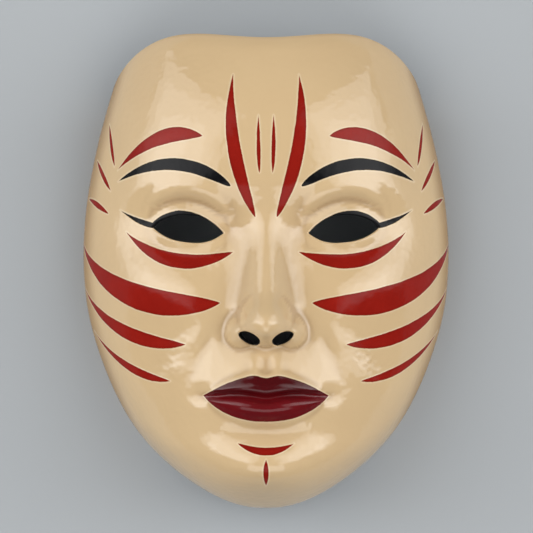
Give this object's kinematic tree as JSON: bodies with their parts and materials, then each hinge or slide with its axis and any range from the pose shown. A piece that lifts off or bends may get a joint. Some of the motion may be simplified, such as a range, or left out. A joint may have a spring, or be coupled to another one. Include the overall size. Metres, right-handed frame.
{
  "type": "painted face mask",
  "caption": "Full-face stage mask in the geisha style: a moulded shell with open eyes and nostrils, closed lips and a strap slot in each side.",
  "frame": {"origin": "middle of the mask in plan, on the plane of the side rims that it lies on", "axes": "+X across the face to the viewer's right, +Y up the face towards the forehead, +Z out of the face"},
  "size_m": [0.1648, 0.21, 0.0852],
  "materials": {
    "lacquered_shell": "semi-gloss cream lacquer on the face with red and black painting, matt black inside"
  },
  "bodies": {
    "root": {"mask_shell": "lacquered_shell"}
  },
  "joints": []
}
